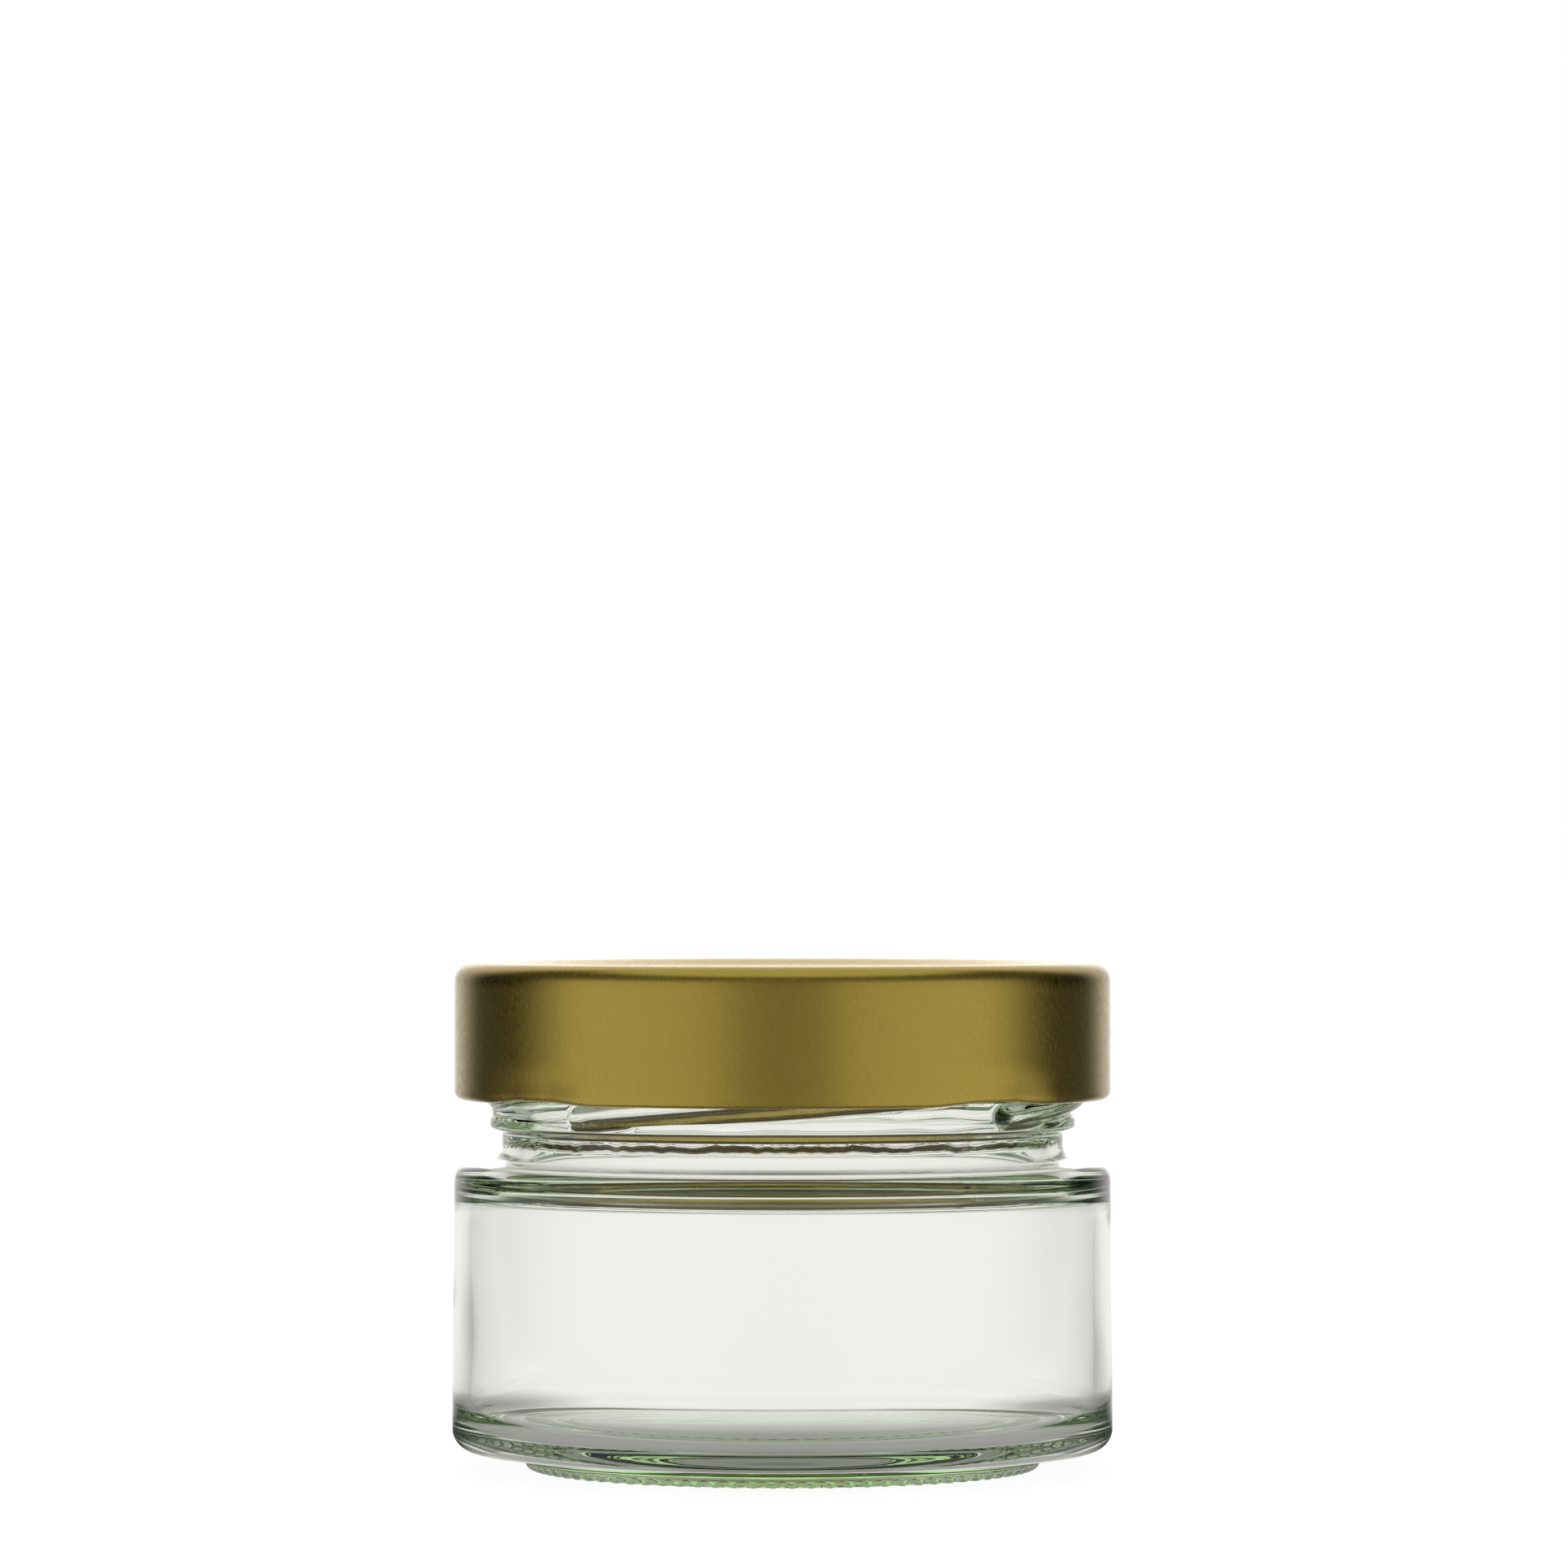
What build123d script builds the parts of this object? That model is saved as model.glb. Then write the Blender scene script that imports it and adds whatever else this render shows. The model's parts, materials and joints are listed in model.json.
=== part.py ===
"""A low, wide-mouth preserving jar with a deep one-piece lug cap.

The jar stands on z = 0 with its axis on +Z. It is one piece of pressed and blown glass, with a
knurled stacking foot, a straight label wall, a bead under the finish and four lug threads. The
cap is one drawn sheet with a rolled curl and four lugs, and a ring of sealing compound lies in
the channel behind its shoulder. All sizes are in millimetres, and outlines are (radius, height).
"""

from build123d import *

import os
from math import pi

# Jar body
body_radius = 37.0
wall = 2.15
floor_height = 4.0
floor_crown = 0.4
floor_corner = 3.6
heel_height = 2.2
heel_corner = 2.4
shoulder_height = 34.1
shoulder_corner = 1.9
shoulder_rise = 0.75
wall_draft = 0.15

# Stacking foot and its knurled bearing ring
foot_radius = 28.85
bearing_inner_radius = 25.2
push_up = 1.5
knurl_inner_radius = 26.8
knurl_count = 84
knurl_land = 0.55
knurl_depth = 0.35

# Neck and finish
neck_radius = 31.5
bead_radius = 32.85
bead_low = 37.7
bead_high = 39.6
finish_radius = 32.6
mouth_radius = 29.6
mouth_taper = 0.25
jar_height = 55.3
rim_corner = 1.2
inner_shoulder_height = 34.5
inner_shoulder_drop = 3.7

# Lug threads: four right-hand ribs on one lead
thread_count = 4
thread_lead = 16.0
thread_start_angle = -42.4
thread_start_height = 40.0
thread_turn = 92.0
thread_radius = 34.0
thread_base_height = 3.0
thread_crest_height = 0.9
thread_root_depth = 0.5

# Cap
sheet = 0.2
cap_radius = 36.75
cap_height = 56.7
cap_corner = 2.1
recess_radius = 29.3
recess_depth = 1.1
recess_corner = 0.25
curl_diameter = 2.0
curl_bottom = 41.4
curl_turn = 300.0

# Lugs
lug_angle = -49.5
lug_turn = 12.0
lug_tip_radius = 33.25
lug_height = 0.65
lug_bottom = 41.6

# Sealing compound
gasket_inner_radius = 29.8
gasket_outer_radius = 34.3
gasket_thickness = 1.09
gasket_gap = 0.03

os.makedirs("parts", exist_ok=True)


def turned(angle):
    """The half-plane through the jar's axis at an angle from +X, with radius along its x."""
    return Plane.XZ.rotated((0, 0, angle))


# The jar's section, from the middle of the push-up round the outside and back inside to the floor.
inner_radius = body_radius - wall
outside = [
    ((0, push_up), 0),
    ((bearing_inner_radius - 1.2, push_up * 0.6), 0.8),
    ((bearing_inner_radius, 0), 0.5),
    ((foot_radius, 0), 0.9),
    ((foot_radius, heel_height), 0.35),
    ((body_radius, heel_height), heel_corner),
    ((body_radius - wall_draft, shoulder_height), shoulder_corner),
    ((neck_radius, shoulder_height + shoulder_rise), 1.6),
    ((neck_radius, bead_low), 0.5),
    ((bead_radius, bead_low + 0.6), 0.5),
    ((bead_radius, bead_high - 0.3), 0.2),
    ((finish_radius, bead_high), 0.2),
    ((finish_radius, jar_height), rim_corner),
]
inside = [
    ((mouth_radius, jar_height), rim_corner),
    ((mouth_radius - mouth_taper, inner_shoulder_height), 3.0),
    ((inner_radius, inner_shoulder_height - inner_shoulder_drop), 1.6),
    ((inner_radius, floor_height), floor_corner),
    ((0, floor_height + floor_crown), 0),
]
corners = outside + inside

# One thread rib's section, centred on its helix, with its root buried in the finish wall.
rib_section = [
    (finish_radius - thread_root_depth, -thread_base_height / 2),
    (finish_radius, -thread_base_height / 2),
    (thread_radius, -thread_crest_height / 2),
    (thread_radius, thread_crest_height / 2),
    (finish_radius, thread_base_height / 2),
    (finish_radius - thread_root_depth, thread_base_height / 2),
]
rib_rise = thread_lead * thread_turn / 360

with BuildPart() as thread_rib:
    with BuildLine() as rib_path:
        Helix(pitch=thread_lead, height=rib_rise, radius=finish_radius)
    with BuildSketch(Plane.XZ):
        with BuildLine():
            Polyline(*rib_section, close=True)
        make_face()
    sweep(path=rib_path.line, is_frenet=True)
    # A round nose closes each end of the rib.
    for nose_angle, nose_height in ((0, 0), (thread_turn, rib_rise)):
        nose_plane = Plane.YZ.offset(finish_radius).rotated((0, 0, nose_angle))
        nose_plane.origin += Vector(0, 0, nose_height)
        with Locations(nose_plane):
            Cone(
                bottom_radius=thread_base_height / 2,
                top_radius=thread_crest_height / 2,
                height=thread_radius - finish_radius,
                align=(Align.CENTER, Align.CENTER, Align.MIN),
            )

# The knurls are what is left between round grooves cut across the outer part of the bearing ring.
knurl_pitch = 2 * pi * (foot_radius + knurl_inner_radius) / 2 / knurl_count
groove_width = knurl_pitch - knurl_land
groove_radius = (groove_width**2 / 4 + knurl_depth**2) / (2 * knurl_depth)
groove_length = foot_radius - knurl_inner_radius + 1

with BuildPart() as jar:
    with BuildSketch(Plane.XZ):
        with BuildLine():
            FilletPolyline(
                *[point for point, _ in corners],
                radius=[radius for _, radius in corners],
                close=True,
            )
        make_face()
    revolve(axis=Axis.Z)
    with PolarLocations(0, knurl_count):
        with Locations(
            Location((knurl_inner_radius, 0, knurl_depth - groove_radius), (0, 90, 0))
        ):
            Cylinder(
                radius=groove_radius,
                height=groove_length,
                align=(Align.CENTER, Align.CENTER, Align.MIN),
                mode=Mode.SUBTRACT,
            )
    with Locations((0, 0, thread_start_height)):
        with PolarLocations(0, thread_count, start_angle=thread_start_angle):
            add(thread_rib.part)
jar.part.label = "glass_jar"

# The sheet's middle line, from the centre of the panel out and down to the curl.
panel_height = cap_height - recess_depth - sheet / 2
ring_height = cap_height - sheet / 2
skirt_radius = cap_radius - sheet / 2
curl_radius = (curl_diameter - sheet) / 2
curl_centre_radius = skirt_radius - curl_radius
curl_height = curl_bottom + curl_diameter / 2

with BuildPart() as cap_shell:
    with BuildSketch(Plane.XZ):
        with BuildLine():
            FilletPolyline(
                (0, panel_height),
                (recess_radius + sheet / 2, panel_height),
                (recess_radius + sheet / 2, ring_height),
                (skirt_radius, ring_height),
                (skirt_radius, curl_height),
                radius=(recess_corner, recess_corner, cap_corner - sheet / 2),
            )
            CenterArc((curl_centre_radius, curl_height), curl_radius, 0, -curl_turn)
        trace(line_width=sheet)
    revolve(axis=Axis.Z)
    # Each lug is a stretch of the curl pressed inwards into a blunt tongue.
    for lug in range(thread_count):
        first_edge = lug_angle - lug_turn / 2 + lug * 360 / thread_count
        with BuildSketch(turned(first_edge)):
            with Locations((lug_tip_radius, lug_bottom)):
                Rectangle(curl_centre_radius - lug_tip_radius, lug_height, align=Align.MIN)
        revolve(axis=Axis.Z, revolution_arc=lug_turn)
cap_shell.part.label = "cap_shell"

gasket_top = cap_height - sheet - gasket_gap
with BuildPart() as sealing_gasket:
    with BuildSketch(Plane.XZ) as gasket_section:
        with Locations(((gasket_inner_radius + gasket_outer_radius) / 2, gasket_top)):
            Rectangle(
                gasket_outer_radius - gasket_inner_radius,
                gasket_thickness,
                align=(Align.CENTER, Align.MAX),
            )
        fillet(gasket_section.vertices().group_by(Axis.Z)[0], radius=0.4)
    revolve(axis=Axis.Z)
sealing_gasket.part.label = "sealing_gasket"

for piece in (jar, cap_shell, sealing_gasket):
    export_step(piece.part, f"parts/{piece.part.label}.step")
    print(piece.part.label, round(piece.part.volume), "mm3")
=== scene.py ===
import json
from math import pi, radians, sin, tan

import bpy
import numpy as np
from mathutils import Matrix, Vector


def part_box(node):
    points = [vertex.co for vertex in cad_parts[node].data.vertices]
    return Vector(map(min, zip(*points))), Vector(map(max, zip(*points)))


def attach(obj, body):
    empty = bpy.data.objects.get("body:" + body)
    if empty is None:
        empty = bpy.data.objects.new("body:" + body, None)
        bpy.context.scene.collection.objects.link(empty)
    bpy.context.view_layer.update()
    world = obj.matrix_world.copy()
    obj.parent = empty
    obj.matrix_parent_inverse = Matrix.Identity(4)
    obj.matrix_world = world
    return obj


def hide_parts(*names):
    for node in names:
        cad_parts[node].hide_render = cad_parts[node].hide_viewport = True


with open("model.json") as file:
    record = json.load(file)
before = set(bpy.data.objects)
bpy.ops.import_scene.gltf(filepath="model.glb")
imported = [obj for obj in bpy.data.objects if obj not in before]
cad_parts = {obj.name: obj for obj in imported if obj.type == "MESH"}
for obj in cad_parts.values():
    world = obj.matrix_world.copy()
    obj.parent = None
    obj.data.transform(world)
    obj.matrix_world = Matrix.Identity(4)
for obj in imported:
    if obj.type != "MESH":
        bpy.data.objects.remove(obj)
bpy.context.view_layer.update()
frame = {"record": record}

# ---------------------------------------------------------------------------------------------
# Glass jar: one piece of soda-lime glass. A press makes the finish, then air blows the rest out
# against an iron mould, so the outside is crisp and the inside is smooth and a little wavy.
# ---------------------------------------------------------------------------------------------

MM = 0.001
jar_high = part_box("glass_jar")[1]
body_radius = jar_high.x / MM
jar_height = jar_high.z / MM
foot_mount = next(m for m in frame["record"]["mounts"] if m["name"] == "stacking_foot")
foot_radius = foot_mount["dims"]["r_mm"]

neck_radius = 31.5
finish_radius = 32.6
bead_radius = 32.85
mouth_radius = 29.6
inner_radius = body_radius - 2.15
push_up = 1.5
heel_height = 2.2
floor_height = 4.0
bearing_inner_radius = 25.2
knurl_inner_radius = 26.8
shoulder_height = 34.1
bead_low = 37.7
bead_high = 39.6
inner_shoulder_low = 30.8
inner_shoulder_high = 34.5
neck_step_low = 36.2
neck_step_high = 41.0

knurls = 84
steps_per_knurl = 5
knurl_depth = 0.35
thread_count = 4
thread_lead = 16.0
thread_first_angle = radians(-42.4)
thread_first_height = 40.0
thread_turn = radians(92.0)
thread_height = 1.4
thread_half_base = 1.7
thread_half_crest = 0.3


def rounded(corners, turn_step=radians(12)):
    """Points (x, y) along an outline of (x, y, corner radius, longest gap on the way there), with
    each corner as an arc."""
    points = []
    for index, (x, y, radius, longest) in enumerate(corners):
        corner = Vector((x, y))
        if radius == 0:
            points.append((corner, longest))
            continue
        back = (Vector(corners[index - 1][:2]) - corner).normalized()
        ahead = (Vector(corners[index + 1][:2]) - corner).normalized()
        half = back.angle(ahead) / 2
        reach = radius / tan(half)
        centre = corner + (back + ahead).normalized() * radius / sin(half)
        start = corner + back * reach - centre
        turn = start.angle_signed(corner + ahead * reach - centre)
        steps = max(2, round(abs(turn) / turn_step))
        for step in range(steps + 1):
            arm = start.copy()
            arm.rotate(Matrix.Rotation(-turn * step / steps, 2))
            points.append((centre + arm, longest))
    spaced = [points[0][0]]
    for point, longest in points[1:]:
        last = spaced[-1]
        gap = (point - last).length
        pieces = max(1, round(gap / longest + 0.4))
        if gap > 1e-6:
            spaced += [last.lerp(point, (k + 1) / pieces) for k in range(pieces)]
    return np.array([tuple(p) for p in spaced])


def lathe(name, radius, height, closed=False):
    """A turned mesh from two arrays in millimetres, one row for each ring and one column for
    each step round the axis. Rows at radius 0 become single points; closed joins last to first."""
    rows, steps = radius.shape
    angle = np.arange(steps) * 2 * pi / steps
    verts, faces, first = [], [], []
    for row in range(rows):
        pole = np.all(radius[row] < 1e-6)
        first.append((len(verts), pole))
        count = 1 if pole else steps
        x = radius[row, :count] * np.sin(angle[:count])
        y = -radius[row, :count] * np.cos(angle[:count])
        verts += np.column_stack((x, y, height[row, :count])).tolist()
    pairs = list(zip(first, first[1:])) + ([(first[-1], first[0])] if closed else [])
    for (a, a_pole), (b, b_pole) in pairs:
        for step in range(steps):
            after = (step + 1) % steps
            if a_pole:
                faces.append((a, b + after, b + step))
            elif b_pole:
                faces.append((a + step, a + after, b))
            else:
                faces.append((a + step, a + after, b + after, b + step))
    mesh = bpy.data.meshes.new(name)
    mesh.from_pydata((np.array(verts) * MM).tolist(), [], faces)
    mesh.validate()
    mesh.shade_smooth()
    piece = bpy.data.objects.new(name, mesh)
    bpy.context.scene.collection.objects.link(piece)
    return piece


def waves(seed, angle, height, round_count, length):
    """Smooth uneven swells between about -1 and 1: sines of whole numbers round the jar, which
    run on past the seam, and of wavelengths near the given length in height."""
    draw = np.random.default_rng(seed)
    swell = np.zeros(np.broadcast(angle, height).shape)
    for _ in range(14):
        turns = draw.integers(-round_count, round_count + 1)
        pitch = 2 * pi / (length * draw.uniform(0.7, 2.5))
        swell += np.sin(turns * angle + pitch * height + draw.uniform(0, 2 * pi))
    return swell / 7


def eased(value):
    """A number held between 0 and 1, with a smooth start and end."""
    held = np.clip(value, 0, 1)
    return held * held * (3 - 2 * held)


jar_steps = knurls * steps_per_knurl
outline = rounded(
    [
        (0, push_up, 0, 4),
        (bearing_inner_radius - 1.2, push_up * 0.6, 0.8, 4),
        (bearing_inner_radius, 0, 0.5, 0.6),
        (foot_radius, 0, 0.9, 0.5),
        (foot_radius, heel_height, 0.4, 1),
        (body_radius, heel_height, 2.4, 1.5),
        (body_radius - 0.15, shoulder_height, 1.9, 2),
        (neck_radius, shoulder_height + 0.75, 1.6, 1),
        (neck_radius, bead_low, 0.5, 1),
        (bead_radius, bead_low + 0.6, 0.5, 1),
        (bead_radius, bead_high - 0.3, 0.2, 1),
        (finish_radius, bead_high, 0.2, 1),
        (finish_radius, jar_height, 1.2, 0.42),
        (mouth_radius, jar_height, 1.2, 1),
        (mouth_radius - 0.15, 39.0, 0, 1),
        (mouth_radius - 0.25, inner_shoulder_high, 3.0, 0.3),
        (inner_radius, inner_shoulder_low, 1.6, 0.8),
        (inner_radius, floor_height, 3.6, 1.7),
        (0, floor_height + 0.4, 0, 2.5),
    ]
)
angle = np.arange(jar_steps) * 2 * pi / jar_steps
radius = np.repeat(outline[:, :1], jar_steps, axis=1)
height = np.repeat(outline[:, 1:], jar_steps, axis=1)
rim_row = np.argmax(outline[:, 1])

# Threads: the outer finish wall stands out along four right-hand ribs with round ends.
on_finish = (radius > finish_radius - 0.01) & (height > bead_low) & (height < jar_height - 2)
for start in range(thread_count):
    along = (angle - thread_first_angle - start * 2 * pi / thread_count + pi) % (2 * pi) - pi
    along = np.where(along < -pi / 3, along + 2 * pi, along)
    held = np.clip(along, 0, thread_turn)
    across = height - thread_first_height - held * thread_lead / (2 * pi)
    away = np.hypot(across, (along - held) * finish_radius)
    slope = np.clip((thread_half_base - away) / (thread_half_base - thread_half_crest), 0, 1)
    rise = thread_height * slope * slope * (3 - 2 * slope)
    radius = np.where(on_finish, np.maximum(radius, finish_radius + rise), radius)

# Knurls: round grooves across the bearing ring leave a ring of low teeth to stand on.
on_ring = (height < 0.6) & (radius > knurl_inner_radius) & (radius < foot_radius + 0.01)
groove = np.abs(np.cos(angle * knurls / 2))
height = np.where(on_ring, height + knurl_depth * np.clip(1.25 * groove - 0.25, 0, 1), height)

# The blown inside follows the mould less closely than the outside does, and inside the neck an
# uneven step shows where the glass that the plunger had chilled gives way to the blown glass.
inner_rows = (np.arange(len(outline)) > rim_row)[:, None] & (height < jar_height - 3)
swell = waves(3, angle[None, :], height, 5, 16)
radius = radius + np.where(inner_rows & (radius > 20), 0.06 * swell, 0)
edge = neck_step_low + 0.2 * waves(8, angle, 0, 110, 3) + 0.2 * waves(11, angle, 0, 18, 3)
step_depth = 0.36 + 0.14 * waves(9, angle, 0, 24, 3)
step_in = step_depth * eased(height - edge) * eased((neck_step_high - height) / 3)
radius = radius - np.where(inner_rows & (height > 20), step_in, 0)

glass_jar = lathe("glass_jar_blown", radius, height)


def linear(code):
    """The linear RGBA of an sRGB hex colour such as "c8b27a"."""
    parts = [int(code[k : k + 2], 16) / 255 for k in (0, 2, 4)]
    return [c / 12.92 if c <= 0.04045 else ((c + 0.055) / 1.055) ** 2.4 for c in parts] + [1]


def add(tree, kind, inputs=None, **settings):
    """A new node with its settings and its inputs by name or number, where a socket given for an
    input is linked and anything else is set."""
    made = tree.nodes.new(kind)
    for name, value in settings.items():
        setattr(made, name, value)
    for name, value in (inputs or {}).items():
        if isinstance(value, bpy.types.NodeSocket):
            tree.links.new(value, made.inputs[name])
        else:
            made.inputs[name].default_value = value
    return made


def blank_material(name):
    """A new material with no nodes, and its node tree."""
    material = bpy.data.materials.new(name)
    material.use_nodes = True
    material.node_tree.nodes.clear()
    return material, material.node_tree


# Blown soda-lime flint glass, fire polished: clear, with a faint green where it is thick, and
# broad ripples that the mould's cold face leaves in the skin.
flint, tree = blank_material("blown_soda_lime_glass")
place = add(tree, "ShaderNodeTexCoord").outputs["Object"]
ripple = add(tree, "ShaderNodeTexNoise", {"Vector": place, "Scale": 1 / (9 * MM), "Detail": 1.0})
skin = add(
    tree,
    "ShaderNodeBump",
    {"Height": ripple.outputs["Fac"], "Strength": 0.05, "Distance": 0.3 * MM},
)
glass = add(
    tree,
    "ShaderNodeBsdfPrincipled",
    {
        "Base Color": linear("ffffff"),
        "Roughness": 0.0,
        "IOR": 1.52,
        "Transmission Weight": 1.0,
        "Normal": skin.outputs["Normal"],
    },
)
# The iron in the sand takes out red and blue, about 0.9 and 1.4 percent of them in each millimetre.
tint = add(tree, "ShaderNodeVolumeAbsorption", {"Color": linear("a5f000"), "Density": 14.0})
add(tree, "ShaderNodeOutputMaterial", {"Surface": glass.outputs[0], "Volume": tint.outputs[0]})
glass_jar.data.materials.append(flint)
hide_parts("glass_jar")
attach(glass_jar, "jar")

# ---------------------------------------------------------------------------------------------
# Cap shell: 0.2 mm tinplate, lacquered gold on both sides while flat, then drawn in one stroke.
# Its cut edge is rolled inwards into a curl, and four lugs are pressed out of the curl.
# ---------------------------------------------------------------------------------------------

cap_low, cap_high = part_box("cap_shell")
cap_radius = cap_high.x / MM
cap_height = cap_high.z / MM
curl_bottom = cap_low.z / MM
recess_mount = next(m for m in frame["record"]["mounts"] if m["name"] == "cap_recess")
recess_radius = recess_mount["dims"]["r_mm"]
sheet = 0.2
recess_depth = 0.8
ring_flat_radius = 32.4
skirt_radius = cap_radius - sheet / 2
curl_diameter = 2.0
curl_radius = (curl_diameter - sheet) / 2
curl_height = curl_bottom + curl_diameter / 2
lug_angle = radians(40.5)
lug_half_width = radians(6.0)
edge_rise = 0.3
lug_middle = 41.95
lug_reach = 1.5
lug_dent = 0.35

middle_line = rounded(
    [
        (0, cap_height - recess_depth - sheet / 2, 0, 4),
        (recess_radius, cap_height - recess_depth - sheet / 2, 4, 3),
        (ring_flat_radius, cap_height - sheet / 2, 3, 1),
        (skirt_radius, cap_height - sheet / 2, 2.0, 1.5),
        (skirt_radius, curl_height, 0, 0.8),
    ]
)
curl_turns = np.radians(np.linspace(0, 300, 22))[1:]
curl_line = np.column_stack(
    (
        skirt_radius - curl_radius + curl_radius * np.cos(curl_turns),
        curl_height - curl_radius * np.sin(curl_turns),
    )
)
middle_line = np.vstack((middle_line, curl_line))

# The press lifts the skirt's edge a little round each lug, dents it, draws the inner side of the
# curl out into the lug and flattens it.
cap_steps = 480
angle = np.arange(cap_steps) * 2 * pi / cap_steps
from_lug = np.abs((angle - lug_angle + pi / 4) % (pi / 2) - pi / 4)
near = eased((radians(15) - from_lug) / radians(11))
pressed = eased((lug_half_width + radians(2) - from_lug) / radians(4))
middle_r = np.repeat(middle_line[:, :1], cap_steps, axis=1)
middle_z = np.repeat(middle_line[:, 1:], cap_steps, axis=1)
on_skirt = middle_r > skirt_radius - 2 * curl_radius - 0.1
lower = eased((curl_height + 3.4 - middle_z) / 3.4) * on_skirt
inner_side = eased((skirt_radius - middle_r) / (2 * curl_radius)) * (middle_z < curl_height + 1)
flattened = lug_middle + (middle_z - curl_height) * 0.26
lifted = middle_z + near * lower * edge_rise
middle_z = lifted + (flattened - lifted) * pressed * inner_side
middle_r = middle_r - near * lower * lug_dent - pressed * inner_side * lug_reach


def sheet_sides(middle_r, middle_z, thickness):
    """The two faces of a sheet about its middle line, as rows of radius and height."""
    along_r = np.gradient(middle_r, axis=0)
    along_z = np.gradient(middle_z, axis=0)
    length = np.hypot(along_r, along_z)
    out_r = -along_z / length * thickness / 2
    out_z = along_r / length * thickness / 2
    out_r[0] = 0
    faces_r = np.vstack((middle_r + out_r, (middle_r - out_r)[::-1]))
    faces_z = np.vstack((middle_z + out_z, (middle_z - out_z)[::-1]))
    return faces_r, faces_z


cap_r, cap_z = sheet_sides(middle_r, middle_z, sheet)
cap_shell = lathe("cap_shell_drawn", cap_r[::-1], cap_z[::-1])

# Tinplate under clear gold lacquer: the tin's rolled grain shows as short soft strokes, which lean
# because the disc was cut across the rolling. The lacquer turns pale where it is seen at a low angle.
lacquer, tree = blank_material("gold_lacquered_tinplate")
place = add(tree, "ShaderNodeTexCoord").outputs["Object"]
lean = add(
    tree,
    "ShaderNodeMapping",
    {"Vector": place, "Rotation": (0, radians(-28), 0), "Scale": (1, 1, 4)},
    vector_type="TEXTURE",
)
grain = add(
    tree,
    "ShaderNodeTexNoise",
    {"Vector": lean.outputs["Vector"], "Scale": 1 / (0.35 * MM), "Detail": 3.0},
).outputs["Fac"]
brushed = add(
    tree,
    "ShaderNodeMapRange",
    {"Value": grain, "From Min": 0.3, "From Max": 0.7, "To Min": 0.18, "To Max": 0.32},
)
relief = add(tree, "ShaderNodeBump", {"Height": grain, "Strength": 0.5, "Distance": 0.02 * MM})
gold = add(
    tree,
    "ShaderNodeBsdfPrincipled",
    {
        "Base Color": linear("af9a43"),
        "Metallic": 1.0,
        "Coat Weight": 0.2,
        "Coat Roughness": 0.1,
        "Roughness": brushed.outputs["Result"],
        "Normal": relief.outputs["Normal"],
    },
)
add(tree, "ShaderNodeOutputMaterial", {"Surface": gold.outputs[0]})
cap_shell.data.materials.append(lacquer)
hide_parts("cap_shell")
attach(cap_shell, "cap")

# ---------------------------------------------------------------------------------------------
# Sealing gasket: soft vinyl compound, run as a liquid into the channel behind the cap's shoulder
# while the cap spins, then cured in an oven. It levels out while wet, so its lower face is flat.
# ---------------------------------------------------------------------------------------------

gasket_low, gasket_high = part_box("sealing_gasket")
ring_outer = gasket_high.x / MM
ring_top = gasket_high.z / MM
ring_bottom = gasket_low.z / MM
ring_inner = recess_radius + 0.5
flank_slope = recess_depth / (ring_flat_radius - recess_radius)
ring_line = rounded(
    [
        (ring_flat_radius, ring_top, 0, 1),
        (ring_inner, ring_top - (ring_flat_radius - ring_inner) * flank_slope, 0, 0.5),
        (ring_inner + 0.6, ring_bottom, 0.4, 0.5),
        (ring_outer - 0.7, ring_bottom, 0.5, 0.5),
        (ring_outer, ring_bottom + 0.5, 0.3, 0.5),
        (ring_outer, ring_top, 0, 0.5),
    ]
)
gasket_steps = 240
gasket = lathe(
    "sealing_gasket_flowed",
    np.repeat(ring_line[:, :1], gasket_steps, axis=1),
    np.repeat(ring_line[:, 1:], gasket_steps, axis=1),
    closed=True,
)

# Cured vinyl compound: off-white and soft, with a dull skin that is a little uneven.
vinyl, tree = blank_material("cured_vinyl_compound")
place = add(tree, "ShaderNodeTexCoord").outputs["Object"]
pores = add(tree, "ShaderNodeTexNoise", {"Vector": place, "Scale": 1 / (0.8 * MM), "Detail": 2.0})
skin = add(
    tree,
    "ShaderNodeBump",
    {"Height": pores.outputs["Fac"], "Strength": 0.2, "Distance": 0.03 * MM},
)
soft = add(
    tree,
    "ShaderNodeBsdfPrincipled",
    {
        "Base Color": linear("d8d4c8"),
        "Roughness": 0.55,
        "IOR": 1.5,
        "Normal": skin.outputs["Normal"],
    },
)
add(tree, "ShaderNodeOutputMaterial", {"Surface": soft.outputs[0]})
gasket.data.materials.append(vinyl)
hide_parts("sealing_gasket")
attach(gasket, "seal")

# ---------------------------------------------------------------------------------------------
# Studio: white behind the jar, a dark gap each side of it, two soft boxes in front and a soft
# ceiling. The floor is a sheet of white acrylic lit from below, so it holds hardly any shadow; its
# glow carries painted light and shade by bearing round the jar and a painted shadow under the jar.
# ---------------------------------------------------------------------------------------------

lamp_white = linear("fffbfc")


def lit(level):
    """The lamps' white at a level of light, where 1 is as bright as the backdrop."""
    return [channel * level for channel in lamp_white[:3]] + [1]


def light_round(tree, direction, stops):
    """The light from each bearing round the jar, by stops from 0 in front of it to 1 behind it."""
    level = add(tree, "ShaderNodeVectorMath", {0: direction, 1: (1, 1, 0)}, operation="MULTIPLY")
    unit = add(tree, "ShaderNodeVectorMath", {0: level.outputs[0]}, operation="NORMALIZE")
    bearing = add(tree, "ShaderNodeSeparateXYZ", {"Vector": unit.outputs[0]})
    depth = add(tree, "ShaderNodeMapRange", {"Value": bearing.outputs["Y"], "From Min": -1.0})
    ramp = add(tree, "ShaderNodeValToRGB", {"Fac": depth.outputs["Result"]})
    while len(ramp.color_ramp.elements) < len(stops):
        ramp.color_ramp.elements.new(0.5)
    for element, (where, light) in zip(ramp.color_ramp.elements, stops):
        element.position = where
        element.color = lit(light)
    return ramp.outputs["Color"]


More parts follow.
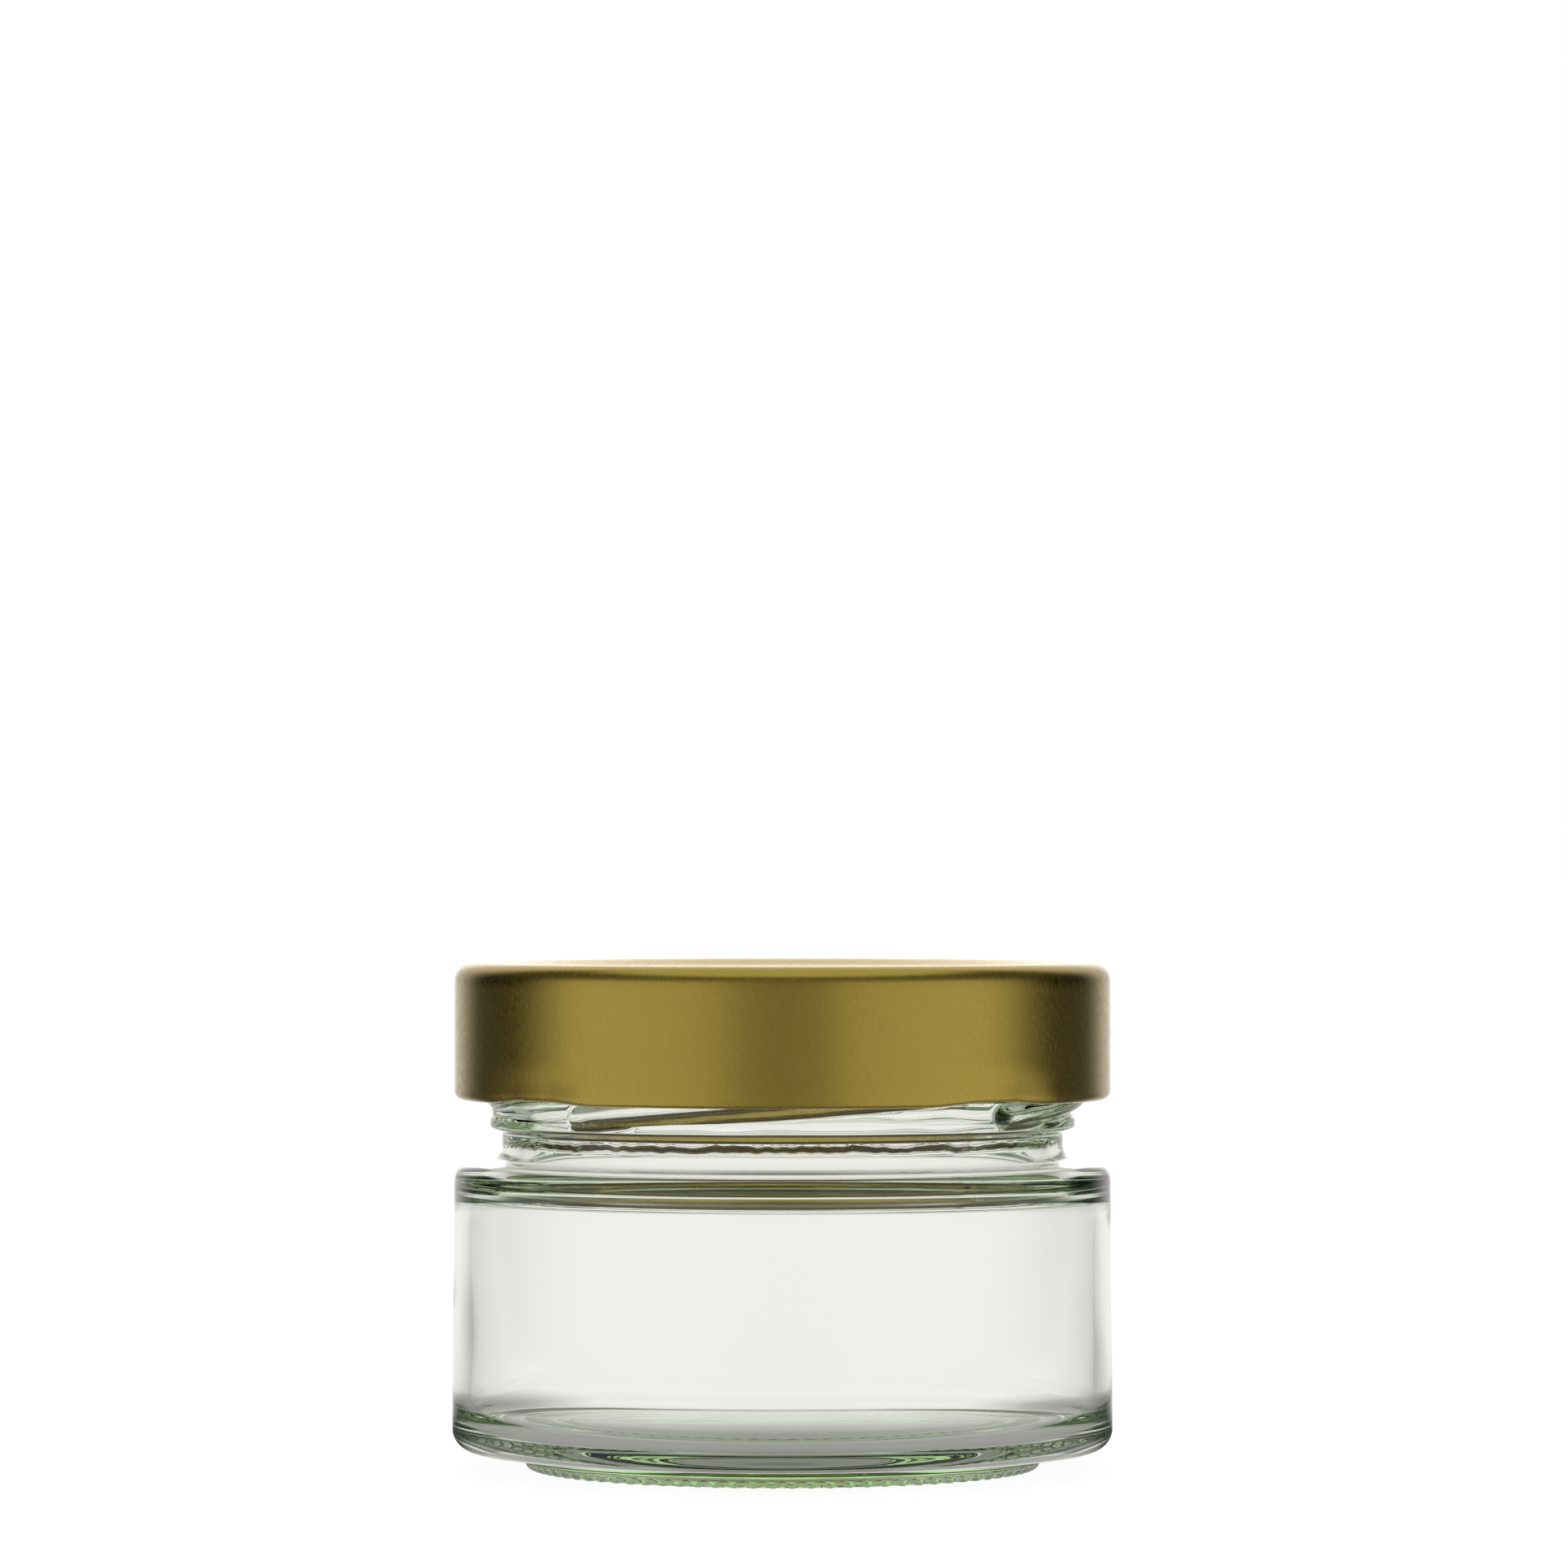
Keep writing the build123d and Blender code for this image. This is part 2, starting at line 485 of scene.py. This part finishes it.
def blend(tree, factor, first, second):
    """The mix of two colours by a factor socket."""
    inputs = {"Factor": factor, 6: first, 7: second}
    return add(tree, "ShaderNodeMix", inputs, data_type="RGBA").outputs[2]


# What polished faces mirror: the soft boxes, the dark gap and the backdrop's bright middle.
mirrored_walls = [
    (0.00, 0.30),
    (0.012, 0.36),
    (0.04, 0.62),
    (0.12, 0.70),
    (0.28, 0.75),
    (0.38, 0.75),
    (0.46, 0.50),
    (0.56, 0.17),
    (0.64, 0.02),
    (0.85, 0.02),
    (0.90, 0.35),
    (0.94, 0.70),
    (0.975, 0.78),
    (1.00, 1.70),
]
mirrored_above = [(0.0, 0.22), (0.60, 0.12), (0.80, 0.10), (0.90, 0.80), (0.95, 0.98)]

# What is seen through the glass: no soft boxes, and a dark gap that is wider and less deep.
walls_through_glass = [
    (0.00, 0.28),
    (0.15, 0.25),
    (0.30, 0.10),
    (0.80, 0.25),
    (0.86, 0.50),
    (0.93, 0.90),
]
# The floor's glow seen through the glass, a painted shade: darker in front and at the sides, bright
# behind the jar.
painted_floor_shade_through_glass = [(0.0, 0.32), (0.70, 0.28), (0.80, 0.35), (0.86, 0.50), (0.93, 0.91)]

floor_mesh = bpy.data.meshes.new("floor")
reach = 30.0
# The sheet lies 0.02 mm under the bearing ring, so that the two faces don't share a plane.
floor_level = -0.02 * MM
floor_corners = [(x * reach, y * reach, floor_level) for x, y in ((-1, -1), (1, -1), (1, 1), (-1, 1))]
floor_mesh.from_pydata(floor_corners, [], [(0, 1, 2, 3)])
floor = bpy.data.objects.new("floor", floor_mesh)
bpy.context.scene.collection.objects.link(floor)
acrylic, tree = blank_material("white_acrylic_with_painted_light_and_shade")
spot = add(tree, "ShaderNodeTexCoord").outputs["Object"]
seen = add(tree, "ShaderNodeLightPath")
far = add(tree, "ShaderNodeVectorMath", {0: spot}, operation="LENGTH")
# Clear: how far from the jar's axis the painted shadow under the jar fades out into the floor's glow.
clear = add(
    tree,
    "ShaderNodeMapRange",
    {"Value": far.outputs["Value"], "From Min": 12 * MM, "From Max": 36 * MM},
    interpolation_type="SMOOTHSTEP",
)
# Painted light and shade on the floor: its glow follows the room's pattern by bearing round the jar,
# one pattern for mirrors and one for the glass.
mirrored = light_round(tree, spot, mirrored_walls)
through = light_round(tree, spot, painted_floor_shade_through_glass)
painted_light_round_jar = blend(tree, seen.outputs["Is Transmission Ray"], mirrored, through)
# Under the jar the sheet's glow is painted dark, a painted shadow of the jar on the floor.
glow = blend(tree, clear.outputs["Result"], lit(0.12), painted_light_round_jar)
glow = blend(tree, seen.outputs["Is Camera Ray"], glow, linear("f9f9f9"))
shine = add(tree, "ShaderNodeEmission", {"Color": glow, "Strength": 1.0})
paint = add(tree, "ShaderNodeBsdfDiffuse", {"Color": linear("6c6c6c")})
top_face = add(tree, "ShaderNodeAddShader", {0: shine.outputs[0], 1: paint.outputs[0]})
# From below the sheet is clear, so that the foot can be looked at.
side = add(tree, "ShaderNodeNewGeometry").outputs["Backfacing"]
window = add(tree, "ShaderNodeBsdfTransparent")
panel = add(tree, "ShaderNodeMixShader", {"Fac": side, 1: top_face.outputs[0], 2: window.outputs[0]})
add(tree, "ShaderNodeOutputMaterial", {"Surface": panel.outputs[0]})
floor.data.materials.append(acrylic)

world = bpy.data.worlds.new("studio")
world.use_nodes = True
tree = world.node_tree
tree.nodes.clear()
bpy.context.scene.world = world
look = add(tree, "ShaderNodeTexCoord").outputs["Generated"]
seen = add(tree, "ShaderNodeLightPath")
through_glass = seen.outputs["Is Transmission Ray"]
climb = add(tree, "ShaderNodeSeparateXYZ", {"Vector": look}).outputs["Z"]
above = add(
    tree,
    "ShaderNodeMapRange",
    {"Value": climb, "From Min": 0.25, "From Max": 0.6},
    interpolation_type="SMOOTHSTEP",
)
overhead = add(
    tree,
    "ShaderNodeMapRange",
    {"Value": climb, "From Min": 0.75, "From Max": 0.9},
    interpolation_type="SMOOTHSTEP",
)
mirrored = light_round(tree, look, mirrored_walls)
through = light_round(tree, look, walls_through_glass)
walls = blend(tree, through_glass, mirrored, through)
upper = blend(tree, through_glass, light_round(tree, look, mirrored_above), lit(0.07))
room = blend(tree, above.outputs["Result"], walls, upper)
room = blend(tree, overhead.outputs["Result"], room, linear("e7e7e7"))
room = blend(tree, seen.outputs["Is Camera Ray"], room, linear("ffffff"))
glow = add(tree, "ShaderNodeBackground", {"Color": room, "Strength": 1.0})
add(tree, "ShaderNodeOutputWorld", {"Surface": glow.outputs[0]})

# ---------------------------------------------------------------------------------------------
# Camera: level with a point just above the cap, a long lens about 0.8 m away.
# ---------------------------------------------------------------------------------------------

eye_distance = 0.819
eye_height = cap_high.z + 0.0110
share_of_width = 0.4208
camera_data = bpy.data.cameras.new("camera")
camera_data.sensor_width = 36.0
camera_data.lens = camera_data.sensor_width * share_of_width * eye_distance / (2 * jar_high.x)
camera_data.shift_x = 0.001
camera_data.shift_y = 0.051
camera_data.clip_start = 0.01
camera_data.clip_end = 200
camera = bpy.data.objects.new("camera", camera_data)
camera.location = (0, -eye_distance, eye_height)
camera.rotation_euler = (radians(90), 0, 0)
bpy.context.scene.collection.objects.link(camera)
bpy.context.scene.camera = camera

scene = bpy.context.scene
scene.view_settings.view_transform = "Standard"
scene.cycles.max_bounces = 24
scene.cycles.transmission_bounces = 24
scene.cycles.glossy_bounces = 12
